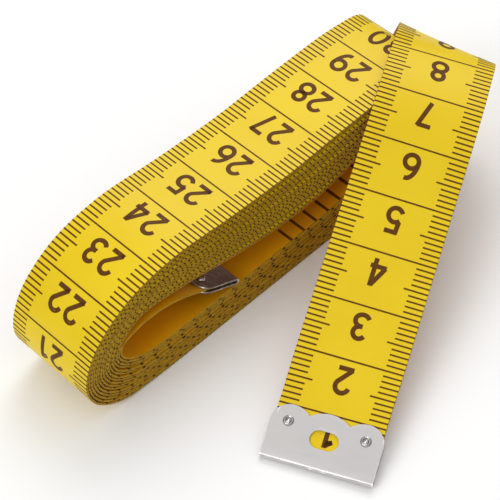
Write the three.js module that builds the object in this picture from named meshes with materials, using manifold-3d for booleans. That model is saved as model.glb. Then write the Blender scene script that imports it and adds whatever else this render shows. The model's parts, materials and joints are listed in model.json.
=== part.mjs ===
// A soft tailor's tape: one long printed band wound flat, with a folded metal
// ferrule riveted over each of its two ends. Millimetres, +Z up. While it is
// built the wound roll lies along +X and the band is 19 mm wide along Y.
import * as THREE from 'three';
import { mergeVertices } from 'three/addons/utils/BufferGeometryUtils.js';
import Module from 'manifold-3d';

const wasm = await Module();
wasm.setup();

// ---- The band ----
const BAND_WIDTH = 19;
const BAND_THICK = 0.42;
const HINGE_GAP = 0.3;

// ---- The wound roll ----
// Matching points of the innermost and the outermost turn, as [x, z], starting
// at the left end and going along the table to the right, then back on top.
const TURNS = 15;
const TABLE = BAND_THICK / 2 + 0.03;
const TURN_POINTS = [
  { inner: [7.2, 13.6], outer: [-0.9, 11] },
  { inner: [8.2, 11.4], outer: [1, 5.2] },
  { inner: [11.5, 9.15], outer: [6, 1.4] },
  { inner: [15, 8.4], outer: [13, 0.45] },
  { inner: [20, 8.2], outer: [20, TABLE] },
  { inner: [30, 8.15], outer: [30, TABLE] },
  { inner: [48, 8.3], outer: [50, TABLE] },
  { inner: [60, 8.9], outer: [61, 1.2] },
  { inner: [69, 13.6], outer: [76, 6.6] },
  { inner: [74, 16.8], outer: [85.4, 15] },
  { inner: [75.2, 18.2], outer: [88.6, 20.6] },
  { inner: [74, 19.1], outer: [86.4, 25.4] },
  { inner: [68, 17.6], outer: [78, 27.3] },
  { inner: [58, 14.4], outer: [62, 27.2] },
  { inner: [46, 13.8], outer: [48, 26.4] },
  { inner: [34, 15.4], outer: [34, 26.7] },
  { inner: [21, 18.2], outer: [20, 27.4] },
  { inner: [12.5, 18.9], outer: [9.5, 24.9] },
  { inner: [8.4, 16.5], outer: [1.8, 18.6] },
];
const STEPS_PER_POINT = 2;
// The last turn leaves the roll on the table at this point of the outline.
const LEAVING_POINT = 5;

// ---- The two free ends of the band ----
// Each arc is a length, how far the band bends in it and how far it twists.
const OUTER_END_ARCS = [
  { length: 23.5, bend: 0, twist: 0 },
  { length: 17, bend: 1, twist: 0 },
  { length: 23, bend: 47, twist: 19.5 },
  { length: 24, bend: 115, twist: 27 },
  { length: 21, bend: 36.5, twist: -3 },
  { length: 37.5, bend: -7.5, twist: 7.5 },
  { length: 10, bend: 1.1, twist: 6.5 },
  { length: 12, bend: 0, twist: 0 },
];
const INNER_END_ARCS = [
  { length: 3, bend: -70, twist: 0 },
  { length: 9, bend: -31.5, twist: 0 },
  { length: 6, bend: -15.5, twist: 0 },
  { length: 12, bend: 0, twist: 0 },
];
const ARC_STEP = 2;
// Where the outer end flexes, in mm from its tip.
const STRAND_HINGES = [85, 55, 25];

// ---- A ferrule: one sheet folded round the end of the band ----
const FERRULE_WIDTH = 20;
const FERRULE_SHEET = 0.3;
const FERRULE_CLEARANCE = 0.1;
const FOLD_INSIDE = BAND_THICK / 2 + FERRULE_CLEARANCE;
const FOLD_OUTSIDE = FOLD_INSIDE + FERRULE_SHEET;
const FERRULE_SHOULDER = 6.7;
const FERRULE_CUSP = 8.8;
const FERRULE_TOP = 10;
const LOBE_HALF_WIDTH = 3.6;
const WINDOW_LENGTH = 5.1;
const WINDOW_WIDTH = 3.15;
const WINDOW_HEIGHT = 5.35;
const RIVET_SIDE = 6.85;
const RIVET_HEIGHT = 7.1;
const RIVET_SHANK = 0.6;
const RIVET_HOLE = 0.75;
const RIVET_HEAD = 1;
const RIVET_HEAD_THICK = 0.25;
const RIVET_HEAD_GAP = 0.05;
const BAND_END_MARGIN = 0.5;

const UP = new THREE.Vector3(0, 0, 1);
const ACROSS = new THREE.Vector3(0, 1, 0);
const ALONG_TABLE = new THREE.Vector3(1, 0, 0);
const rad = THREE.MathUtils.degToRad;

const materials = {
  band: new THREE.MeshStandardMaterial({ color: 0xe6c832, roughness: 0.45, metalness: 0 }),
  steel: new THREE.MeshStandardMaterial({ color: 0xcccbca, roughness: 0.35, metalness: 1 }),
};

// ---- Solids ----

function toSolid(geometry) {
  const bare = geometry.clone();
  bare.deleteAttribute('normal');
  bare.deleteAttribute('uv');
  const merged = mergeVertices(bare, 1e-4);
  return new wasm.Manifold(new wasm.Mesh({
    numProp: 3,
    vertProperties: new Float32Array(merged.attributes.position.array),
    triVerts: new Uint32Array(merged.index.array),
  }));
}

function toGeometry(solid) {
  const mesh = solid.getMesh();
  const geometry = new THREE.BufferGeometry();
  geometry.setAttribute('position', new THREE.BufferAttribute(mesh.vertProperties, 3));
  geometry.setIndex(new THREE.BufferAttribute(mesh.triVerts, 1));
  geometry.computeVertexNormals();
  return geometry;
}

// ---- Stations along the band ----
// A station has its place, the direction along the band, the direction across
// it (towards +Y on the roll) and its normal, which points into the roll.

function station(place, along, across) {
  const normal = new THREE.Vector3().crossVectors(along, across).normalize();
  return { place, along, across, normal };
}

function turnCurve(points) {
  const path = points.map(([x, z]) => new THREE.Vector3(x, 0, z));
  return new THREE.CatmullRomCurve3(path, true, 'centripetal');
}

function rollStations() {
  const inner = turnCurve(TURN_POINTS.map((pair) => pair.inner));
  const outer = turnCurve(TURN_POINTS.map((pair) => pair.outer));
  const perTurn = TURN_POINTS.length;
  const last = TURNS * perTurn + LEAVING_POINT;
  const placeAt = (step) => {
    const t = ((step / perTurn) % 1 + 1) % 1;
    return inner.getPoint(t).lerp(outer.getPoint(t), step / last);
  };
  const stations = [];
  for (let i = 0; i <= last * STEPS_PER_POINT; i += 1) {
    const step = i / STEPS_PER_POINT;
    const ahead = placeAt(step + 0.02);
    const along = ahead.sub(placeAt(step - 0.02)).normalize();
    stations.push(station(placeAt(step), along, ACROSS.clone()));
  }
  return stations;
}

// A station at the same place that heads another way.
function headed(from, along) {
  return station(from.place, along, from.across.clone());
}

// Walks along the arcs from a first station; the bend turns the band's path
// about the direction across it, and the twist turns it about its own path.
function arcStations(first, arcs) {
  const stations = [first];
  let { place, along, across } = first;
  for (const arc of arcs) {
    const steps = Math.ceil(arc.length / ARC_STEP);
    const step = arc.length / steps;
    for (let i = 0; i < steps; i += 1) {
      const turn = across.clone().multiplyScalar(-rad(arc.bend) / steps);
      turn.addScaledVector(along, rad(arc.twist) / steps);
      const angle = turn.length();
      const before = along.clone();
      if (angle > 0) {
        const spin = new THREE.Quaternion().setFromAxisAngle(turn.normalize(), angle);
        along = along.clone().applyQuaternion(spin);
        across = across.clone().applyQuaternion(spin);
      }
      place = place.clone().addScaledVector(before.add(along).normalize(), step);
      stations.push(station(place, along, across));
    }
  }
  return stations;
}

function distances(stations) {
  const result = [0];
  for (let i = 1; i < stations.length; i += 1) {
    result.push(result[i - 1] + stations[i].place.distanceTo(stations[i - 1].place));
  }
  return result;
}

function stationAt(stations, along, distance) {
  const next = Math.max(1, along.findIndex((value) => value >= distance));
  const share = (distance - along[next - 1]) / (along[next] - along[next - 1]);
  const a = stations[next - 1];
  const b = stations[next];
  return station(
    a.place.clone().lerp(b.place, share),
    a.along.clone().lerp(b.along, share).normalize(),
    a.across.clone().lerp(b.across, share).normalize());
}

// The stations between two distances, with a new one at each of them.
function stretch(stations, from, to) {
  const along = distances(stations);
  const inside = stations.filter((_, i) => along[i] > from + 0.05 && along[i] < to - 0.05);
  return [stationAt(stations, along, from), ...inside, stationAt(stations, along, to)];
}

// ---- The band's solids ----

function bandGeometry(stations) {
  const corners = [[-1, -1], [1, -1], [1, 1], [-1, 1]];
  const positions = [];
  for (const { place, across, normal } of stations) {
    for (const [side, face] of corners) {
      const corner = place.clone()
        .addScaledVector(across, side * BAND_WIDTH / 2)
        .addScaledVector(normal, face * BAND_THICK / 2);
      positions.push(corner.x, corner.y, corner.z);
    }
  }
  const index = [0, 2, 1, 0, 3, 2];
  for (let i = 0; i + 1 < stations.length; i += 1) {
    const a = i * 4;
    for (let k = 0; k < 4; k += 1) {
      const next = (k + 1) % 4;
      index.push(a + k, a + next, a + 4 + next, a + k, a + 4 + next, a + 4 + k);
    }
  }
  const end = (stations.length - 1) * 4;
  index.push(end, end + 1, end + 2, end, end + 2, end + 3);
  const geometry = new THREE.BufferGeometry();
  geometry.setAttribute('position', new THREE.Float32BufferAttribute(positions, 3));
  geometry.setIndex(index);
  return geometry;
}

// The frame at a ferrule: x across the band, y from the folded edge towards the
// band, z out of the face that has the window.
function ferruleFrame(tip) {
  const y = tip.along.clone().negate();
  const z = tip.normal.clone().negate();
  const x = new THREE.Vector3().crossVectors(y, z);
  return new THREE.Matrix4().makeBasis(x, y, z).setPosition(tip.place);
}

function rivetPlaces() {
  return [-1, 1].map((side) => ({ side, x: side * RIVET_SIDE, y: RIVET_HEIGHT }));
}

function bandWithRivetHoles(stations, frame) {
  let solid = toSolid(bandGeometry(stations));
  for (const { x, y } of rivetPlaces()) {
    const drill = new THREE.CylinderGeometry(RIVET_HOLE, RIVET_HOLE, 3, 12);
    drill.rotateX(Math.PI / 2);
    drill.translate(x, y, 0);
    drill.applyMatrix4(frame);
    solid = solid.subtract(toSolid(drill));
  }
  return toGeometry(solid);
}

// ---- The ferrule's solids ----

function roundHole(x, y, radius) {
  return new THREE.Path().absarc(x, y, radius, 0, 2 * Math.PI, true);
}

function windowHole() {
  const half = (WINDOW_LENGTH - WINDOW_WIDTH) / 2;
  const radius = WINDOW_WIDTH / 2;
  const path = new THREE.Path();
  path.absarc(half, WINDOW_HEIGHT, radius, Math.PI / 2, -Math.PI / 2, true);
  path.absarc(-half, WINDOW_HEIGHT, radius, -Math.PI / 2, -1.5 * Math.PI, true);
  return path;
}

// The sheet's outline has three lobes with a cusp between each two.
function ferruleOutline() {
  const half = FERRULE_WIDTH / 2;
  const corner = FERRULE_TOP - FERRULE_SHOULDER;
  const crown = 2 * FERRULE_TOP - FERRULE_CUSP;
  const shape = new THREE.Shape();
  shape.moveTo(-half, FOLD_OUTSIDE);
  shape.lineTo(half, FOLD_OUTSIDE);
  shape.lineTo(half, FERRULE_SHOULDER);
  shape.absarc(half - corner, FERRULE_SHOULDER, corner, 0, Math.PI / 2, false);
  shape.quadraticCurveTo(LOBE_HALF_WIDTH + 1, FERRULE_TOP, LOBE_HALF_WIDTH, FERRULE_CUSP);
  shape.quadraticCurveTo(0, crown, -LOBE_HALF_WIDTH, FERRULE_CUSP);
  shape.quadraticCurveTo(-LOBE_HALF_WIDTH - 1, FERRULE_TOP, corner - half, FERRULE_TOP);
  shape.absarc(corner - half, FERRULE_SHOULDER, corner, Math.PI / 2, Math.PI, false);
  return shape;
}

function sheetGeometry(hasWindow, level) {
  const shape = ferruleOutline();
  shape.holes = rivetPlaces().map(({ x, y }) => roundHole(x, y, RIVET_HOLE));
  if (hasWindow) shape.holes.push(windowHole());
  const options = { depth: FERRULE_SHEET, bevelEnabled: false, curveSegments: 6 };
  return new THREE.ExtrudeGeometry(shape, options).translate(0, 0, level);
}

function foldGeometry() {
  const middle = FOLD_OUTSIDE;
  const joined = middle + 0.05;
  const shape = new THREE.Shape();
  shape.moveTo(joined, -FOLD_OUTSIDE);
  shape.lineTo(joined, -FOLD_INSIDE);
  shape.absarc(middle, 0, FOLD_INSIDE, -Math.PI / 2, Math.PI / 2, true);
  shape.lineTo(joined, FOLD_INSIDE);
  shape.lineTo(joined, FOLD_OUTSIDE);
  shape.absarc(middle, 0, FOLD_OUTSIDE, Math.PI / 2, 1.5 * Math.PI, false);
  const options = { depth: FERRULE_WIDTH, bevelEnabled: false, curveSegments: 6 };
  const fold = new THREE.ExtrudeGeometry(shape, options);
  fold.translate(0, 0, -FERRULE_WIDTH / 2);
  // The section's x and y become the ferrule's y and z.
  const turn = new THREE.Matrix4().makeBasis(ACROSS, UP, ALONG_TABLE);
  return fold.applyMatrix4(turn);
}

function ferruleGeometry() {
  const front = toSolid(sheetGeometry(true, FOLD_INSIDE));
  const back = toSolid(sheetGeometry(false, -FOLD_OUTSIDE));
  return toGeometry(front.add(back).add(toSolid(foldGeometry())));
}

function rivetGeometry() {
  const underHead = FOLD_OUTSIDE + RIVET_HEAD_GAP;
  const top = underHead + RIVET_HEAD_THICK;
  const profile = [
    [0, -top], [RIVET_HEAD * 0.7, -top], [RIVET_HEAD, -underHead], [RIVET_SHANK, -underHead],
    [RIVET_SHANK, underHead], [RIVET_HEAD, underHead], [RIVET_HEAD * 0.7, top], [0, top],
  ].map(([x, y]) => new THREE.Vector2(x, y));
  return new THREE.LatheGeometry(profile, 12).rotateX(Math.PI / 2);
}

// ---- Assembly ----

function named(name, geometry, material) {
  const mesh = new THREE.Mesh(geometry, material);
  mesh.name = name;
  return mesh;
}

function ferruleAssembly(prefix, frame) {
  const assembly = new THREE.Group();
  assembly.add(named(`${prefix}_ferrule`, ferruleGeometry(), materials.steel));
  for (const { side, x, y } of rivetPlaces()) {
    const name = `${prefix}_rivet_${side < 0 ? 'left' : 'right'}`;
    const rivet = named(name, rivetGeometry(), materials.steel);
    rivet.position.set(x, y, 0);
    assembly.add(rivet);
  }
  assembly.applyMatrix4(frame);
  return assembly;
}

const roll = rollStations();
const leaving = headed(roll[roll.length - 1], ALONG_TABLE);
const outerEnd = arcStations(leaving, OUTER_END_ARCS);
const outerLength = distances(outerEnd).pop();
const innerEnd = arcStations(headed(roll[0], roll[0].along.clone().negate()), INNER_END_ARCS);
const innerLength = distances(innerEnd).pop();

const outerFrame = ferruleFrame(outerEnd[outerEnd.length - 1]);
const innerFrame = ferruleFrame(innerEnd[innerEnd.length - 1]);
const cuts = STRAND_HINGES.map((fromTip) => outerLength - fromTip);
const half = HINGE_GAP / 2;

const group = new THREE.Group();
const firstStretch = [...roll, ...stretch(outerEnd, 0, cuts[0] - half).slice(1)];
const wound = bandGeometry(firstStretch);
const upper = bandGeometry(stretch(outerEnd, cuts[0] + half, cuts[1] - half));
const middle = bandGeometry(stretch(outerEnd, cuts[1] + half, cuts[2] - half));
const end = stretch(outerEnd, cuts[2] + half, outerLength - BAND_END_MARGIN);
const tail = stretch(innerEnd, HINGE_GAP, innerLength - BAND_END_MARGIN);
group.add(named('wound_band', wound, materials.band));
group.add(named('band_strand_upper', upper, materials.band));
group.add(named('band_strand_middle', middle, materials.band));
group.add(named('band_outer_end', bandWithRivetHoles(end, outerFrame), materials.band));
group.add(named('band_inner_end', bandWithRivetHoles(tail, innerFrame), materials.band));
group.add(ferruleAssembly('outer', outerFrame));
group.add(ferruleAssembly('inner', innerFrame));

// The origin is at the middle of the assembly's underside.
const bounds = new THREE.Box3().setFromObject(group);
const middleOfBounds = bounds.getCenter(new THREE.Vector3());
group.position.set(-middleOfBounds.x, -middleOfBounds.y, -bounds.min.z);
group.updateMatrixWorld(true);

export default group;
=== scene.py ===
import json
import math

import bpy
import numpy as np
from mathutils import Matrix, Vector


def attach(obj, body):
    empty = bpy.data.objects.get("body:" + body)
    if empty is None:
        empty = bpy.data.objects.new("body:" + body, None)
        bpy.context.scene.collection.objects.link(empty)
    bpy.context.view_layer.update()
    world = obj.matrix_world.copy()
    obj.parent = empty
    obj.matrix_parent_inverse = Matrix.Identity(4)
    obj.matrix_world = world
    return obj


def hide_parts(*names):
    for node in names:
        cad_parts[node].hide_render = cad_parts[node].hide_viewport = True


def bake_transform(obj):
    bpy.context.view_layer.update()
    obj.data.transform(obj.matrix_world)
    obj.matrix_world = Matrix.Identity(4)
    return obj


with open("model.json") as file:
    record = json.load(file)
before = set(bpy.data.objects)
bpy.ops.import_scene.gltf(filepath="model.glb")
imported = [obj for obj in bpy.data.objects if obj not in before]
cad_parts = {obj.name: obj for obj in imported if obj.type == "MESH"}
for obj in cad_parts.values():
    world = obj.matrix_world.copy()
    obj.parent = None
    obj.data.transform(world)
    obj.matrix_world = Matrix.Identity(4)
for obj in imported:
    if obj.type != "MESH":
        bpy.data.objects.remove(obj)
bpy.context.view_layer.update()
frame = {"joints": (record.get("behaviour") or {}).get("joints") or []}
MM = 0.001

# ---- Camera, studio and floor ----
# The tape lies on a plain pale table under a white tent, and is seen from
# above its near left corner with a long lens held a little off level.
VIEW_FROM = Vector((-0.14644, -0.13650, 0.25560))
VIEW_ALONG = Vector((0.4328, 0.4719, -0.7681)).normalized()
VIEW_UP = Vector((0.5559, 0.5310, 0.6395))

view_right = VIEW_ALONG.cross(VIEW_UP).normalized()
view_up = view_right.cross(VIEW_ALONG)
camera_data = bpy.data.cameras.new("camera")
camera_data.sensor_width = 36
camera_data.lens = 129.6
camera_data.clip_start = 0.01
camera = bpy.data.objects.new("camera", camera_data)
camera.matrix_world = Matrix.Translation(VIEW_FROM) @ Matrix(
    (view_right, view_up, -VIEW_ALONG)).transposed().to_4x4()
bpy.context.scene.collection.objects.link(camera)
bpy.context.scene.camera = camera
bpy.context.scene.view_settings.view_transform = "Standard"


def soft_lamp(name, place, size, watts):
    data = bpy.data.lights.new(name, "AREA")
    data.shape = "DISK"
    data.size = size
    data.energy = watts
    lamp = bpy.data.objects.new(name, data)
    lamp.location = place
    lamp.rotation_euler = (-Vector(place)).to_track_quat("-Z", "Y").to_euler()
    bpy.context.scene.collection.objects.link(lamp)


soft_lamp("lamp_over_table", (0.42, 0.3, 0.58), 0.5, 2.0)
soft_lamp("lamp_left", (-0.6, 0.0, 0.45), 0.4, 1.5)


TENT_SIDES, TENT_OVERHEAD = 0.14, 0.96


def white_tent():
    """The tent is brighter overhead than round its sides."""
    tent = bpy.data.worlds.new("white_tent")
    tent.use_nodes = True
    nodes, links = tent.node_tree.nodes, tent.node_tree.links
    toward = nodes.new("ShaderNodeTexCoord")
    height = nodes.new("ShaderNodeSeparateXYZ")
    brightness = nodes.new("ShaderNodeMapRange")
    brightness.inputs["To Min"].default_value = TENT_SIDES
    brightness.inputs["To Max"].default_value = TENT_OVERHEAD
    links.new(toward.outputs["Generated"], height.inputs["Vector"])
    links.new(height.outputs["Z"], brightness.inputs["Value"])
    links.new(brightness.outputs["Result"], nodes["Background"].inputs["Strength"])
    nodes["Background"].inputs["Color"].default_value = (1.0, 1.0, 1.0, 1)
    return tent


bpy.context.scene.world = white_tent()


def new_material(name):
    material = bpy.data.materials.new(name)
    material.use_nodes = True
    nodes, links = material.node_tree.nodes, material.node_tree.links
    return material, nodes, links, nodes["Principled BSDF"]


def mesh_object(name, points, faces, materials, smooth_angle=None):
    mesh = bpy.data.meshes.new(name)
    mesh.from_pydata([tuple(p) for p in points], [], [tuple(f) for f in faces])
    for material in materials:
        mesh.materials.append(material)
    if smooth_angle is not None:
        mesh.shade_smooth()
        mesh.set_sharp_from_angle(angle=math.radians(smooth_angle))
    piece = bpy.data.objects.new(name, mesh)
    bpy.context.scene.collection.objects.link(piece)
    return piece


table_top, _, _, surface = new_material("pale_table_top")
surface.inputs["Base Color"].default_value = (0.96, 0.96, 0.955, 1)
surface.inputs["Roughness"].default_value = 0.75
FLOOR_HALF = 3.0
floor = mesh_object("floor", [(x * FLOOR_HALF, y * FLOOR_HALF, 0)
                              for x, y in ((-1, -1), (1, -1), (1, 1), (-1, 1))],
                    [(0, 1, 2, 3)], [table_top])


# ---- The band ----
# One strip of glass-fibre reinforced vinyl, cut from a printed sheet and wound flat
# by hand in fifteen turns. Its inner end folds back inside the roll. Its outer end
# leaves from under the roll, curls up round the nose and comes down in front.
BAND_WIDTH = 19.0
BAND_THICK = 0.42
TURNS = 15
# Height of the middle of the strip where the lowest turn rests on the table.
TABLE = BAND_THICK / 2 + 0.03
INNER_TURN = [
    (7.2, 13.6), (8.2, 11.4), (11.5, 9.15), (15, 8.4), (20, 8.2), (30, 8.15), (48, 8.3),
    (60, 8.9), (69, 13.6), (74, 16.8), (75.2, 18.2), (74, 19.1), (68, 17.6), (58, 14.4),
    (46, 13.8), (34, 15.4), (21, 18.2), (12.5, 18.9), (8.4, 16.5)]
OUTER_TURN = [
    (-0.9, 11), (1, 5.2), (6, 1.4), (13, 0.45), (20, TABLE), (30, TABLE), (50, TABLE),
    (61, 1.2), (76, 6.6), (85.4, 15), (88.6, 20.6), (86.4, 25.4), (78, 27.3), (62, 27.2),
    (48, 26.4), (34, 26.7), (20, 27.4), (9.5, 24.9), (1.8, 18.6)]
LEAVING_POINT = 5
# Length, bend and twist of each arc, from where the strip leaves the roll.
OUTER_ARCS = [(23.5, 0, 0), (17, 1, 0), (23, 47, 19.5), (24, 115, 27), (21, 36.5, -3),
              (37.5, -7.5, 7.5), (10, 1.1, 6.5), (12, 0, 0)]
INNER_ARCS = [(3, -70, 0), (9, -31.5, 0), (6, -15.5, 0), (12, 0, 0)]
ARC_STEP, ARC_PARTS = 2, 4
TURN_PARTS, TANGENT_REACH = 6, 0.02
# Where the strip hinges, in distance from the outer tip.
HINGES = {"strand_lift": 85, "strand_bend": 55, "tip_flex": 25}
# Sideways waves of the turns (height, length over 2 pi, start), and how far from
# each end of the strip they begin and over what length they grow.
WAVES = [(0.11, 61.0, 0.0), (0.06, 23.7, 1.3), (0.04, 9.1, 0.4)]
OUTER_STILL, OUTER_GROWTH = 230, 200
INNER_STILL, INNER_GROWTH = 90, 60


def turn_point(points, t):
    """A point on the closed centripetal spline through the points."""
    count = len(points)
    whole = (t % 1.0) * count
    first = int(whole)
    w = whole - first
    p0, p1, p2, p3 = (np.array(points[(first + k) % count], float) for k in (-1, 0, 1, 2))
    d0, d1, d2 = (math.sqrt(np.linalg.norm(b - a))
                  for a, b in ((p0, p1), (p1, p2), (p2, p3)))
    m1 = ((p1 - p0) / d0 - (p2 - p0) / (d0 + d1) + (p2 - p1) / d1) * d1
    m2 = ((p2 - p1) / d1 - (p3 - p1) / (d1 + d2) + (p3 - p2) / d2) * d1
    bend = -3 * p1 + 3 * p2 - 2 * m1 - m2
    return p1 + m1 * w + bend * w ** 2 + (2 * p1 - 2 * p2 + m1 + m2) * w ** 3


def roll_line():
    """Stations along the turns, each a blend of the innermost and the outermost turn."""
    last = TURNS * len(INNER_TURN) + LEAVING_POINT

    def place(step):
        t = step / len(INNER_TURN)
        share = step / last
        x, z = ((1 - share) * turn_point(INNER_TURN, t)
                + share * turn_point(OUTER_TURN, t))
        return np.array((x, 0.0, z))

    rows = []
    for i in range(last * TURN_PARTS + 1):
        step = i / TURN_PARTS
        along = place(step + TANGENT_REACH) - place(step - TANGENT_REACH)
        rows.append((place(step), along / np.linalg.norm(along), np.array((0.0, 1.0, 0.0))))
    return rows


def arc_line(first, arcs):
    """Stations 2 mm apart along the arcs: place, direction along, direction across."""
    place, along, across = first
    rows = [first]
    for length, bend, twist in arcs:
        count = math.ceil(length / ARC_STEP)
        for _ in range(count):
            turn = -math.radians(bend) / count * across + math.radians(twist) / count * along
            angle = np.linalg.norm(turn)
            before = along
            if angle > 0:
                spin = np.array(Matrix.Rotation(angle, 3, Vector(turn / angle)))
                along, across = spin @ along, spin @ across
            heading = before + along
            place = place + heading / np.linalg.norm(heading) * length / count
            rows.append((place, along, across))
    return rows


def finer(rows, parts):
    """Smooth stations between the coarse ones, on a curve that keeps their directions."""
    result = []
    for (p, a, c), (q, b, d) in zip(rows, rows[1:]):
        reach = np.linalg.norm(q - p)
        for k in range(parts):
            w = k / parts
            keep = 2 * w ** 3 - 3 * w ** 2 + 1
            place = (keep * p + (1 - keep) * q + (w ** 3 - 2 * w ** 2 + w) * reach * a
                     + (w ** 3 - w ** 2) * reach * b)
            result.append((place, (1 - w) * a + w * b, (1 - w) * c + w * d))
    return result + [rows[-1]]


roll = roll_line()
outer_arcs = arc_line((roll[-1][0], np.array((1.0, 0, 0)), roll[-1][2]), OUTER_ARCS)
inner_arcs = arc_line((roll[0][0], -roll[0][1], roll[0][2]), INNER_ARCS)
tail = [(p, -a, c) for p, a, c in reversed(finer(inner_arcs, ARC_PARTS))]
line = tail + roll[1:] + finer(outer_arcs, ARC_PARTS)[1:]
line_place, line_along, line_across = (np.array(column) for column in zip(*line))
steps = np.linalg.norm(np.diff(line_place, axis=0), axis=1)
from_inner = np.concatenate(([0.0], np.cumsum(steps)))
BAND_LENGTH = from_inner[-1]
TAIL_LENGTH = sum(length for length, _, _ in INNER_ARCS)


def beside(rows, from_tip):
    """The coarse station at that distance from the last one."""
    places = np.array([row[0] for row in rows])
    run = np.concatenate(([0.0], np.cumsum(np.linalg.norm(np.diff(places, axis=0), axis=1))))
    return np.array([np.interp(run[-1] - from_tip, run, places[:, k]) for k in range(3)])


# The strip is set down so that its lift hinge lies on the joint of that name.
lift = next(j for j in frame["joints"] if j["name"] == "strand_lift")
line_place += np.array(lift["pos_m"]) / MM - beside(outer_arcs, HINGES["strand_lift"])


def unit(vectors):
    return vectors / np.linalg.norm(vectors, axis=-1, keepdims=True)


def frame_at(from_tip):
    """Place, along, across and outward direction at distances from the outer tip."""
    s = BAND_LENGTH - np.asarray(from_tip, float)
    parts = [np.stack([np.interp(s, from_inner, column[:, k]) for k in range(3)], -1)
             for column in (line_place, line_along, line_across)]
    place, along, across = parts[0], unit(parts[1]), unit(parts[2])
    return place, along, across, -unit(np.cross(along, across))


def wander(from_tip):
    """How far the turns stand proud of each other sideways, from winding by hand."""
    u = np.asarray(from_tip, float)
    grown = (np.clip((u - OUTER_STILL) / OUTER_GROWTH, 0, 1)
             * np.clip((BAND_LENGTH - INNER_STILL - u) / INNER_GROWTH, 0, 1))
    return grown * sum(height * np.sin(u / length + start) for height, length, start in WAVES)


def on_band(from_tip, across_mm, above_mm):
    """Points in metres on the band: above_mm is height over its middle, printed side up."""
    place, _, across, out = frame_at(from_tip)
    side = np.asarray(across_mm, float) + wander(from_tip)
    points = place + across * side[..., None] + out * np.asarray(above_mm, float)[..., None]
    return points * MM


def smooth_grain():
    """Fine unevenness of a pressed or coated surface, as a height."""
    group = bpy.data.node_groups.new("smooth_grain", "ShaderNodeTree")
    face = group.interface
    face.new_socket("Vector", in_out="INPUT", socket_type="NodeSocketVector")
    face.new_socket("Grain Scale", in_out="INPUT", socket_type="NodeSocketFloat")
    face.new_socket("Height", in_out="OUTPUT", socket_type="NodeSocketFloat")
    face.new_socket("Mottle", in_out="OUTPUT", socket_type="NodeSocketFloat")
    start, end = group.nodes.new("NodeGroupInput"), group.nodes.new("NodeGroupOutput")
    fine, broad = group.nodes.new("ShaderNodeTexNoise"), group.nodes.new("ShaderNodeTexNoise")
    broad.inputs["Scale"].default_value = 55
    broad.inputs["Detail"].default_value = 3
    fine.inputs["Detail"].default_value = 2
    for noise in (fine, broad):
        group.links.new(start.outputs["Vector"], noise.inputs["Vector"])
    group.links.new(start.outputs["Grain Scale"], fine.inputs["Scale"])
    group.links.new(fine.outputs["Fac"], end.inputs["Height"])
    group.links.new(broad.outputs["Fac"], end.inputs["Mottle"])
    return group


GRAIN = smooth_grain()


def add_grain(nodes, links, scale):
    spot = nodes.new("ShaderNodeTexCoord")
    grain = nodes.new("ShaderNodeGroup")
    grain.node_tree = GRAIN
    grain.inputs["Grain Scale"].default_value = scale
    links.new(spot.outputs["Object"], grain.inputs["Vector"])
    return spot, grain


def blend_colours(nodes, links, mask, low, high):
    ramp = nodes.new("ShaderNodeValToRGB")
    ramp.color_ramp.elements[0].position = 0.3
    ramp.color_ramp.elements[1].position = 0.7
    ramp.color_ramp.elements[0].color = (*low, 1)
    ramp.color_ramp.elements[1].color = (*high, 1)
    links.new(mask, ramp.inputs["Fac"])
    return ramp.outputs["Color"]


def blend_values(nodes, links, mask, low, high):
    spread = nodes.new("ShaderNodeMapRange")
    spread.inputs["From Min"].default_value = 0.3
    spread.inputs["From Max"].default_value = 0.7
    spread.inputs["To Min"].default_value = low
    spread.inputs["To Max"].default_value = high
    links.new(mask, spread.inputs["Value"])
    return spread.outputs["Result"]


def add_bump(nodes, links, height, surface, strength, depth):
    bump = nodes.new("ShaderNodeBump")
    bump.inputs["Strength"].default_value = strength
    bump.inputs["Distance"].default_value = depth
    links.new(height, bump.inputs["Height"])
    links.new(bump.outputs["Normal"], surface.inputs["Normal"])


def smooth_vinyl(name, low, high):
    """Smooth calendered vinyl: the glass threads show faintly through the gloss."""
    material, nodes, links, surface = new_material(name)
    spot, grain = add_grain(nodes, links, 2600)
    colour = blend_colours(nodes, links, grain.outputs["Mottle"], low, high)
    links.new(colour, surface.inputs["Base Color"])
    links.new(blend_values(nodes, links, grain.outputs["Mottle"], 0.36, 0.44),
              surface.inputs["Roughness"])
    threads = nodes.new("ShaderNodeTexWave")
    threads.bands_direction = "X"
    threads.inputs["Scale"].default_value = 0.5
    weft = nodes.new("ShaderNodeTexWave")
    weft.bands_direction = "Y"
    weft.inputs["Scale"].default_value = 0.5
    links.new(spot.outputs["UV"], threads.inputs["Vector"])
    links.new(spot.outputs["UV"], weft.inputs["Vector"])
    woven = nodes.new("ShaderNodeMath")
    woven.operation = "ADD"
    links.new(threads.outputs["Fac"], woven.inputs[0])
    links.new(weft.outputs["Fac"], woven.inputs[1])
    height = nodes.new("ShaderNodeMath")
    height.operation = "MULTIPLY_ADD"
    height.inputs[1].default_value = 0.25
    links.new(woven.outputs["Value"], height.inputs[0])
    links.new(grain.outputs["Height"], height.inputs[2])
    add_bump(nodes, links, height.outputs["Value"], surface, 0.12, 0.00003)
    surface.inputs["Specular IOR Level"].default_value = 0.25
    return material


def cut_edge_core_and_painted_shade():
    """The die-cut side of the strip, where the grey-brown thread core shows, darkened further
    as painted shade.
    """
    material, nodes, links, surface = new_material("cut_edge_core_and_painted_shade")
    _, grain = add_grain(nodes, links, 1400)
    # The dark brown is partly the thread core and partly painted shade between the wound
    # turns.
    colour = blend_colours(nodes, links, grain.outputs["Height"],
                           (0.34, 0.19, 0.008), (0.47, 0.28, 0.015))
    links.new(colour, surface.inputs["Base Color"])
    links.new(blend_values(nodes, links, grain.outputs["Mottle"], 0.5, 0.65),
              surface.inputs["Roughness"])
    surface.inputs["Specular IOR Level"].default_value = 0.12
    add_bump(nodes, links, grain.outputs["Height"], surface, 0.3, 0.00004)
    return material


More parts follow.
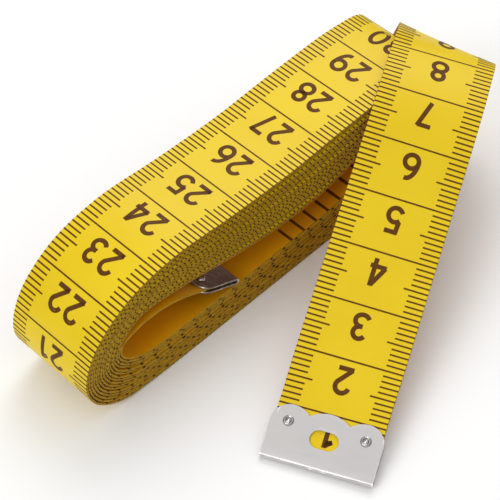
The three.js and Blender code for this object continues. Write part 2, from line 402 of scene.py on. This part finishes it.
VINYL = smooth_vinyl("yellow_vinyl", (0.79, 0.55, 0.004), (0.83, 0.60, 0.008))
# The reverse face's darker, more orange copy of the vinyl is painted shade, tinted like light
# bounced between the turns.
VINYL_BACK_PAINTED_SHADE = smooth_vinyl("yellow_vinyl_painted_shade", (0.66, 0.29, 0.001), (0.71, 0.33, 0.002))
CUT_EDGE_CORE_AND_SHADE = cut_edge_core_and_painted_shade()
EDGE_ROUND = 0.05
STATION_GAP = 0.02


def band_piece(name, tip_side, roll_side):
    """A closed length of the strip between two distances from the outer tip."""
    u = BAND_LENGTH - from_inner
    inside = u[(u > tip_side + STATION_GAP) & (u < roll_side - STATION_GAP)]
    u = np.concatenate(([roll_side], inside, [tip_side]))
    w, t, r = BAND_WIDTH / 2, BAND_THICK / 2, EDGE_ROUND
    section = [(-w + r, -t), (-w, -t + r), (-w, t - r), (-w + r, t),
               (w - r, t), (w, t - r), (w, -t + r), (w - r, -t)]
    # The material of the face after each corner: the fourth is the outer face, the
    # last is the reverse, whose darker orange vinyl is painted shade, and the rest are
    # cut edge, whose dark colour is partly painted shade.
    side_slots = [1, 1, 1, 0, 1, 1, 1, 2]
    across = np.tile([v for v, _ in section], len(u))
    above = np.tile([h for _, h in section], len(u))
    points = on_band(np.repeat(u, len(section)), across, above)
    count = len(section)
    faces, slots = [], []
    for i in range(len(u) - 1):
        for k in range(count):
            n = (k + 1) % count
            faces.append((i * count + k, i * count + n, (i + 1) * count + n,
                          (i + 1) * count + k))
        slots += side_slots
    last = (len(u) - 1) * count
    faces += [tuple(range(count - 1, -1, -1)), tuple(last + k for k in range(count))]
    slots += [1, 1]
    # The tail lies inside the roll, so its outer face also takes the painted-shade copy of the
    # vinyl.
    outer_face = VINYL_BACK_PAINTED_SHADE if name == "band_tail" else VINYL
    piece = mesh_object(name, points, faces, [outer_face, CUT_EDGE_CORE_AND_SHADE, VINYL_BACK_PAINTED_SHADE], 30)
    piece.data.polygons.foreach_set("material_index", slots)
    uv = piece.data.uv_layers.new(name="along_and_across")
    corner = np.zeros(len(piece.data.loops), np.int32)
    piece.data.loops.foreach_get("vertex_index", corner)
    both = np.stack([np.repeat(u, count)[corner], across[corner]], -1)
    uv.data.foreach_set("uv", both.astype(np.float32).ravel())
    return piece


# The strip stops short of the fold of each ferrule.
FOLD_GAP = 0.5
# Half the length that bends at the two outer hinges, at the lift and at the tail.
BEND_HALF, LIFT_HALF, TAIL_HALF = 7, 6.5, 3
TAIL_HINGE = BAND_LENGTH - TAIL_LENGTH
# Each length of the strip: the distances of its ends from the outer tip, the two
# bodies that it bends between, where the bend starts and ends, its CAD node.
LENGTHS = {
    "band_end": (FOLD_GAP, 40.5, "strand_middle", "outer_tip",
                 HINGES["tip_flex"] + BEND_HALF, HINGES["tip_flex"] - BEND_HALF,
                 "band_outer_end"),
    "band_middle": (40.5, 70.5, "strand_upper", "strand_middle",
                    HINGES["strand_bend"] + BEND_HALF, HINGES["strand_bend"] - BEND_HALF,
                    "band_strand_middle"),
    "band_upper": (70.5, 91.5, "roll", "strand_upper",
                   HINGES["strand_lift"] + LIFT_HALF, HINGES["strand_lift"] - LIFT_HALF,
                   "band_strand_upper"),
    "band_roll": (91.5, TAIL_HINGE - TAIL_HALF, "roll", None, 0, 0, "wound_band"),
    "band_tail": (TAIL_HINGE - TAIL_HALF, BAND_LENGTH - FOLD_GAP, "roll", "inner_tail",
                  TAIL_HINGE - TAIL_HALF, TAIL_HINGE + TAIL_HALF, "band_inner_end"),
}


def follow(piece, length_name):
    """Attaches the piece to the length's body when it has only one; otherwise bakes the
    piece's transform into its mesh.
    """
    _, _, first, second, start, end, _ = LENGTHS[length_name]
    if second is None:
        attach(piece, first)
    else:
        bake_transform(piece)


for length_name, facts in LENGTHS.items():
    piece = band_piece(length_name, facts[0], facts[1])
    follow(piece, length_name)
    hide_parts(facts[6])


# ---- The printed scales ----
# Brown ink screened on both faces before the strip is cut: centimetres with
# millimetre ticks on the outer face, counted from the outer tip, and inches in
# eighths on the other face, counted from the inner end, whose last 7 cm is blank.
TICK, HALF_TICK, TICK_WIDE = 3.3, 4.4, 0.3
EIGHTH_INCH = 3.175
INCH_TICK, INCH_HALF_TICK, INCH_TICK_WIDE = 3.4, 5.2, 0.6
# The ink stands just proud of the face, and runs a little way down the cut edge.
INK_PROUD, INK_RUN = 0.02, 0.07
BLANK_END = 70.0
# Between the outer and inner turns the faces are covered, so only the ends of the
# ticks that reach the cut edge are printed there.
OUTER_SEEN, INNER_SEEN, HIDDEN_TICK = 335.0, 215.0, 0.45
DIGIT_WIDE, DIGIT_GAP, DIGIT_STROKE = 3.2, 0.6, 0.84
# How far digits stand off their line. The first 1 stands closer, by the slot.
DIGIT_FOOT, FIRST_FOOT, DIGIT_MIDDLE = 1.2, 0.65, 3.5
STROKE_STEP = 0.45


def brown_ink():
    material, nodes, links, surface = new_material("brown_scale_ink")
    _, grain = add_grain(nodes, links, 1800)
    colour = blend_colours(nodes, links, grain.outputs["Height"],
                           (0.095, 0.034, 0.003), (0.13, 0.048, 0.005))
    links.new(colour, surface.inputs["Base Color"])
    surface.inputs["Specular IOR Level"].default_value = 0.14
    links.new(blend_values(nodes, links, grain.outputs["Mottle"], 0.42, 0.55),
              surface.inputs["Roughness"])
    return material


INK = brown_ink()


class Print:
    """Ink on one length of the strip, as patches just proud of its surface."""

    def __init__(self):
        self.rows, self.faces = [], []

    def patch(self, corners):
        """corners: (from tip, across, above middle), going round the patch."""
        first = len(self.rows)
        self.rows += corners
        self.faces.append(tuple(range(first, first + len(corners))))


prints = {name: Print() for name in LENGTHS}


def print_for(from_tip):
    return next(prints[name] for name, facts in LENGTHS.items()
                if facts[0] <= from_tip < facts[1])


def face_height(side):
    return side * (BAND_THICK / 2 + INK_PROUD)


def facing(corners, side):
    """The same corners, turned so that the patch faces out on that side of the strip."""
    return corners if side > 0 else corners[::-1]


def edge_tick(u, edge, reach, wide, side):
    """A tick from one edge of the strip inwards, with the ink that ran over the edge."""
    w, r = BAND_WIDTH / 2, EDGE_ROUND
    t, flat = BAND_THICK / 2, face_height(side)
    rim = [(edge * (w - r), flat), (edge * (w + INK_PROUD), side * (t - r)),
           (edge * (w + INK_PROUD), side * (t - r - INK_RUN))]
    across = [(edge * (w - reach), flat)] + rim
    ink = print_for(u)
    a, b = u - wide / 2, u + wide / 2
    for (v0, h0), (v1, h1) in zip(across, across[1:]):
        corners = [(a, v0, h0), (a, v1, h1), (b, v1, h1), (b, v0, h0)]
        ink.patch(facing(corners, -side * edge))


def full_line(u, wide, side):
    edge_tick(u, -1, BAND_WIDTH / 2, wide, side)
    edge_tick(u, 1, BAND_WIDTH / 2, wide, side)


def sweep(cx, cy, rx, ry, start, end, count=14):
    angles = np.radians(np.linspace(start, end, count))
    return [(cx + rx * math.cos(a), cy + ry * math.sin(a)) for a in angles]


# The strokes of each digit, drawn in a box 3.3 wide and 5.1 tall.
DIGIT_BOX = 3.3
STROKES = {
    "0": [sweep(1.65, 2.55, 1.27, 2.17, 0, 360, 30)],
    "1": [[(0.25, 3.85), (0.9, 4.3), (1.45, 4.8)], [(0.35, 4.0), (1.4, 4.2)],
          [(1.5, 5.1), (1.5, 0)]],
    "2": [sweep(1.6, 3.5, 1.22, 1.22, 170, -30) + [(0.5, 0.38)], [(0.3, 0.38), (3.05, 0.38)]],
    "3": [sweep(1.6, 3.62, 1.1, 1.1, 155, -90, 16),
          sweep(1.6, 1.45, 1.26, 1.08, 90, -155, 18), [(1.25, 2.5), (1.7, 2.5)]],
    "4": [[(2.3, 4.95), (0.42, 1.42)], [(0.25, 1.42), (3.2, 1.42)], [(2.38, 5.1), (2.38, 0)]],
    "5": [[(2.85, 4.72), (0.8, 4.72), (0.66, 2.75)],
          sweep(1.58, 1.68, 1.28, 1.3, 140, -155, 22)],
    "6": [sweep(1.65, 1.62, 1.27, 1.24, 0, 360, 26),
          sweep(2.05, 1.75, 1.66, 2.97, 180, 82, 16)],
    "7": [[(0.35, 4.72), (2.8, 4.72)], [(2.82, 5.0), (1.2, 0)]],
    "8": [sweep(1.65, 3.72, 1.06, 1.0, 0, 360, 24), sweep(1.65, 1.5, 1.27, 1.12, 0, 360, 26)],
    "9": [sweep(1.65, 3.48, 1.27, 1.24, 0, 360, 26),
          sweep(1.25, 3.35, 1.66, 2.97, 0, -98, 16)],
}


def ribbon(points):
    """The two sides of a stroke through the points, with the stroke's own width."""
    dense = [np.array(points[0], float)]
    for a, b in zip(points, points[1:]):
        a, b = np.array(a, float), np.array(b, float)
        count = max(1, math.ceil(np.linalg.norm(b - a) / STROKE_STEP))
        dense += [a + (b - a) * k / count for k in range(1, count + 1)]
    dense = np.array(dense)
    closed = np.linalg.norm(dense[0] - dense[-1]) < 1e-6
    legs = unit(np.diff(dense, axis=0))
    before = np.vstack((legs[-1:] if closed else legs[:1], legs))
    after = np.vstack((legs, legs[:1] if closed else legs[-1:]))
    heading = unit(before + after)
    widen = 1 / np.maximum(0.5, np.sum(heading * after, axis=1))
    sideways = np.stack((-heading[:, 1], heading[:, 0]), -1) * widen[:, None]
    return dense + sideways * DIGIT_STROKE / 2, dense - sideways * DIGIT_STROKE / 2


def number(text, line_at, side, toward_tip):
    """Digits standing on a line of the scale: their tops point to its zero end."""
    wide = len(text) * DIGIT_WIDE + (len(text) - 1) * DIGIT_GAP
    up = -1 if toward_tip else 1
    ink = print_for(line_at + up * DIGIT_MIDDLE)
    high = face_height(side)
    foot = FIRST_FOOT if text == "1" and toward_tip else DIGIT_FOOT
    for place, digit in enumerate(text):
        left = place * (DIGIT_WIDE + DIGIT_GAP) - wide / 2
        for stroke in STROKES[digit]:
            one, other = ribbon(stroke)
            spots = [[(line_at + up * (foot + y), left + x * DIGIT_WIDE / DIGIT_BOX, high)
                      for x, y in edge] for edge in (one, other)]
            for a, b, c, d in zip(spots[1], spots[1][1:], spots[0][1:], spots[0]):
                ink.patch([a, b, c, d])


for mm in range(2, int(BAND_LENGTH - BLANK_END)):
    seen = mm < OUTER_SEEN
    if mm % 10 == 0 and seen:
        full_line(mm, TICK_WIDE, 1)
        number(str(mm // 10), mm, 1, True)
        continue
    reach = HIDDEN_TICK if not seen else HALF_TICK if mm % 5 == 0 else TICK
    for edge in (-1, 1):
        edge_tick(mm, edge, reach, TICK_WIDE, 1)

for eighth in range(math.ceil(BLANK_END / EIGHTH_INCH),
                    int((BAND_LENGTH - 2) / EIGHTH_INCH)):
    u = BAND_LENGTH - eighth * EIGHTH_INCH
    seen = u < OUTER_SEEN or u > BAND_LENGTH - INNER_SEEN
    if eighth % 8 == 0 and seen:
        full_line(u, INCH_TICK_WIDE, -1)
        number(str(eighth // 8), u, -1, False)
        continue
    reach = HIDDEN_TICK if not seen else INCH_HALF_TICK if eighth % 4 == 0 else INCH_TICK
    for edge in (-1, 1):
        edge_tick(u, edge, reach, INCH_TICK_WIDE, -1)

for length_name, ink in prints.items():
    if ink.faces:
        u, across, above = np.array(ink.rows).T
        piece = mesh_object(length_name.replace("band", "scale"), on_band(u, across, above),
                            ink.faces, [INK])
        follow(piece, length_name)


# ---- The ferrules ----
# Each end of the strip is closed by one nickel-plated steel sheet, blanked with
# three scallops and a slot, and folded over the strip. The outer one's slot shows
# the 1, and the inner one's plate colour is darker as painted shade, for its place inside the
# roll.
FERRULE_WIDTH, FERRULE_SHEET, FERRULE_CLEARANCE = 20.0, 0.3, 0.1
FOLD_INSIDE = BAND_THICK / 2 + FERRULE_CLEARANCE
FOLD_OUTSIDE = FOLD_INSIDE + FERRULE_SHEET
SHOULDER, CUSP, SCALLOP_TOP, SCALLOP_HALF = 6.7, 8.8, 10.0, 3.6
SCALLOP_EASE = 2.2
SLOT_LENGTH, SLOT_WIDTH, SLOT_HEIGHT = 5.1, 3.15, 5.35
PUNCH_LEVELS = 0.1, 2.0
CORNER_ANGLE, CORNER_ROUND = 50, 0.05
RIVET_SIDE, RIVET_HEIGHT = 6.85, 7.1


def edge_wear():
    """Where rubbing has polished a metal edge, and where it has been scratched."""
    group = bpy.data.node_groups.new("edge_wear", "ShaderNodeTree")
    face = group.interface
    face.new_socket("Vector", in_out="INPUT", socket_type="NodeSocketVector")
    face.new_socket("Scratch Scale", in_out="INPUT", socket_type="NodeSocketFloat")
    face.new_socket("Worn Edge", in_out="OUTPUT", socket_type="NodeSocketFloat")
    face.new_socket("Scratches", in_out="OUTPUT", socket_type="NodeSocketFloat")
    start, end = group.nodes.new("NodeGroupInput"), group.nodes.new("NodeGroupOutput")
    shape = group.nodes.new("ShaderNodeNewGeometry")
    worn = group.nodes.new("ShaderNodeMapRange")
    worn.inputs["From Min"].default_value = 0.52
    worn.inputs["From Max"].default_value = 0.62
    group.links.new(shape.outputs["Pointiness"], worn.inputs["Value"])
    group.links.new(worn.outputs["Result"], end.inputs["Worn Edge"])
    stretch = group.nodes.new("ShaderNodeMapping")
    stretch.inputs["Scale"].default_value = (1, 14, 1)
    scratches = group.nodes.new("ShaderNodeTexNoise")
    scratches.inputs["Detail"].default_value = 4
    group.links.new(start.outputs["Vector"], stretch.inputs["Vector"])
    group.links.new(stretch.outputs["Vector"], scratches.inputs["Vector"])
    group.links.new(start.outputs["Scratch Scale"], scratches.inputs["Scale"])
    group.links.new(scratches.outputs["Fac"], end.inputs["Scratches"])
    return group


EDGE_WEAR = edge_wear()


def nickel_plate(name, dull, bright, rough):
    material, nodes, links, surface = new_material(name)
    spot, grain = add_grain(nodes, links, 3200)
    wear = nodes.new("ShaderNodeGroup")
    wear.node_tree = EDGE_WEAR
    wear.inputs["Scratch Scale"].default_value = 260
    links.new(spot.outputs["Object"], wear.inputs["Vector"])
    plate = blend_colours(nodes, links, grain.outputs["Mottle"], dull, bright)
    mix = nodes.new("ShaderNodeMix")
    mix.data_type = "RGBA"
    mix.inputs["B"].default_value = (0.9, 0.89, 0.87, 1)
    links.new(wear.outputs["Worn Edge"], mix.inputs["Factor"])
    links.new(plate, mix.inputs["A"])
    links.new(mix.outputs["Result"], surface.inputs["Base Color"])
    links.new(blend_values(nodes, links, wear.outputs["Scratches"], rough - 0.06, rough + 0.1),
              surface.inputs["Roughness"])
    surface.inputs["Metallic"].default_value = 1
    height = nodes.new("ShaderNodeMath")
    height.operation = "MULTIPLY_ADD"
    height.inputs[1].default_value = 0.5
    links.new(wear.outputs["Scratches"], height.inputs[0])
    links.new(grain.outputs["Height"], height.inputs[2])
    add_bump(nodes, links, height.outputs["Value"], surface, 0.1, 0.00002)
    return material


FERRULE_METALS = {
    "outer": nickel_plate("satin_nickel_plate",
                          (0.59, 0.57, 0.56), (0.63, 0.61, 0.60), 0.36),
    # The inner plate's dark colour is painted shade for the shaded inside of the roll.
    "inner": nickel_plate("nickel_plate_painted_shade",
                          (0.2, 0.16, 0.15), (0.27, 0.22, 0.2), 0.26),
}


def scallop_height(x):
    """How far the sheet reaches from the fold, at that distance across it."""
    x = abs(x)
    half, corner = FERRULE_WIDTH / 2, SCALLOP_TOP - SHOULDER
    if x > half - corner:
        return SHOULDER + math.sqrt(max(0.0, corner ** 2 - (x - half + corner) ** 2))
    if x > SCALLOP_HALF:
        # From the cusp the curve rises to the outer scallop and levels off.
        w = (x - SCALLOP_HALF) / (half - corner - SCALLOP_HALF)
        return CUSP + (SCALLOP_TOP - CUSP) * (1 - (1 - w) ** SCALLOP_EASE)
    return CUSP + (SCALLOP_TOP - CUSP) * (1 - (x / SCALLOP_HALF) ** 2)


def slot_punch(name):
    """The stadium-shaped tool that cuts the slot through the front of the sheet only."""
    round_end = (SLOT_LENGTH - SLOT_WIDTH) / 2
    outline = [spot for cx, start in ((round_end, -90), (-round_end, 90)) for spot in
               sweep(cx, SLOT_HEIGHT, SLOT_WIDTH / 2, SLOT_WIDTH / 2, start, start + 180, 17)]
    around = len(outline)
    points = [(x * MM, y * MM, level * MM) for level in PUNCH_LEVELS for x, y in outline]
    faces = [tuple(reversed(range(around))), tuple(range(around, 2 * around))]
    faces += [(k, (k + 1) % around, around + (k + 1) % around, around + k)
              for k in range(around)]
    return mesh_object(name, points, faces, [])


def ferrule_mesh(name, metal):
    """Bends a scalloped sheet round the fold, thickens it and punches the slot."""
    half, corner = FERRULE_WIDTH / 2, SCALLOP_TOP - SHOULDER
    round_x = [half - corner + corner * math.sin(a) for a in np.linspace(0, math.pi / 2, 15)]
    near_x = list(np.linspace(SCALLOP_HALF, half - corner, 9)[:-1])
    crown_x = list(np.linspace(0, SCALLOP_HALF, 9)[:-1])
    right = crown_x + near_x + round_x
    columns = [-x for x in reversed(right[1:])] + right
    middle = (FOLD_INSIDE + FOLD_OUTSIDE) / 2
    bend = [(FOLD_OUTSIDE - middle * math.cos(a), middle * math.sin(a))
            for a in np.linspace(-math.pi / 2, math.pi / 2, 13)]
    points, faces = [], []
    for x in columns:
        top = scallop_height(x)
        rise = [FOLD_OUTSIDE + (top - FOLD_OUTSIDE) * k / 6 for k in range(6, 0, -1)]
        path = [(y, -middle) for y in rise] + bend + [(y, middle) for y in reversed(rise)]
        points += [(x * MM, y * MM, z * MM) for y, z in path]
    rows = len(points) // len(columns)
    for i in range(len(columns) - 1):
        for k in range(rows - 1):
            a = i * rows + k
            faces.append((a, a + rows, a + rows + 1, a + 1))
    ferrule = mesh_object(name, points, faces, [metal], CORNER_ANGLE)
    sheet = ferrule.modifiers.new("sheet", "SOLIDIFY")
    sheet.thickness = FERRULE_SHEET * MM
    sheet.offset = 0
    punch = slot_punch(name + "_punch")
    cut = ferrule.modifiers.new("slot", "BOOLEAN")
    cut.operation = "DIFFERENCE"
    cut.solver = "EXACT"
    cut.object = punch
    rim = ferrule.modifiers.new("rim", "BEVEL")
    rim.width = CORNER_ROUND * MM
    rim.segments = 2
    rim.limit_method = "ANGLE"
    rim.angle_limit = math.radians(CORNER_ANGLE)
    rim.harden_normals = True
    evaluated = ferrule.evaluated_get(bpy.context.evaluated_depsgraph_get())
    finished = bpy.data.meshes.new_from_object(evaluated)
    ferrule.modifiers.clear()
    ferrule.data = finished
    bpy.data.objects.remove(punch)
    return ferrule


def end_frame(from_tip, heading):
    """Where a ferrule sits: x across, y from its fold to the strip, z out of its slot."""
    place, along, _, out = (part[0] for part in frame_at(np.array([from_tip])))
    y = -along * heading
    x = np.cross(y, out)
    turned = Matrix([[*row] for row in np.stack((x, y, out), -1)]).to_4x4()
    return Matrix.Translation(Vector(place * MM)) @ turned


ENDS = {"outer": (end_frame(0.0, 1), "outer_tip"),
        "inner": (end_frame(BAND_LENGTH, -1), "inner_tail")}

for end_name, (place, body) in ENDS.items():
    ferrule = ferrule_mesh(end_name + "_end_ferrule", FERRULE_METALS[end_name])
    ferrule.matrix_world = place
    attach(ferrule, body)
    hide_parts(end_name + "_ferrule")


# ---- The rivets ----
# Two small hollow rivets per ferrule, drawn from the sheet's own metal and set
# with a point, which leaves a dimple in a low raised rim on each face.
# The rivets' plate is darker than the sheet they are drawn from: painted shade for the dark
# dimples.
RIVET_METAL_PAINTED_SHADE = nickel_plate("rivet_nickel_painted_shade",
                           (0.34, 0.33, 0.32), (0.46, 0.45, 0.44), 0.16)
# Radius and height over the sheet's face, from the dimple's bottom outwards.
RIVET_PROFILE = [(0.0, 0.12), (0.09, 0.1), (0.18, 0.03), (0.34, 0.02), (0.44, 0.08),
                 (0.53, 0.22), (0.6, 0.29), (0.68, 0.32), (0.77, 0.28), (0.87, 0.16),
                 (0.96, 0.02), (0.98, -0.02)]
BARREL_RADIUS, BARREL_INSET = 0.7, 0.02
RIM_RADIUS = 0.6


def rivet_mesh(name):
    """Both heads and the barrel as one closed shape round the rivet's own axis."""
    spokes = 40
    rings = [(r, FOLD_OUTSIDE + h) for r, h in RIVET_PROFILE[1:]]
    rings += [(BARREL_RADIUS, FOLD_OUTSIDE - BARREL_INSET),
              (BARREL_RADIUS, -FOLD_OUTSIDE + BARREL_INSET)]
    rings += [(r, -FOLD_OUTSIDE - h) for r, h in reversed(RIVET_PROFILE[1:])]
    points = [(0, 0, (FOLD_OUTSIDE + RIVET_PROFILE[0][1]) * MM)]
    for r, z in rings:
        for k in range(spokes):
            a = 2 * math.pi * k / spokes
            spread = r
            if r < RIM_RADIUS:
                # The setting point leaves the dimple a little out of round.
                spread *= 1 + (0.05 * math.cos(3 * a + 1.2) + 0.03 * math.cos(2 * a))
            points.append((spread * math.cos(a) * MM, spread * math.sin(a) * MM, z * MM))
    points.append((0, 0, -(FOLD_OUTSIDE + RIVET_PROFILE[0][1]) * MM))
    faces = [(0, 1 + k, 1 + (k + 1) % spokes) for k in range(spokes)]
    for i in range(len(rings) - 1):
        for k in range(spokes):
            a, b = 1 + i * spokes + k, 1 + i * spokes + (k + 1) % spokes
            faces.append((a, a + spokes, b + spokes, b))
    last = 1 + (len(rings) - 1) * spokes
    faces += [(last + (k + 1) % spokes, last + k, len(points) - 1) for k in range(spokes)]
    return mesh_object(name, points, faces, [RIVET_METAL_PAINTED_SHADE], 60)


for end_name, (place, body) in ENDS.items():
    for side, side_name in ((-1, "left"), (1, "right")):
        rivet = rivet_mesh(f"{end_name}_end_rivet_{side_name}")
        rivet.matrix_world = place @ Matrix.Translation(
            (side * RIVET_SIDE * MM, RIVET_HEIGHT * MM, 0))
        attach(rivet, body)
        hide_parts(f"{end_name}_rivet_{side_name}")
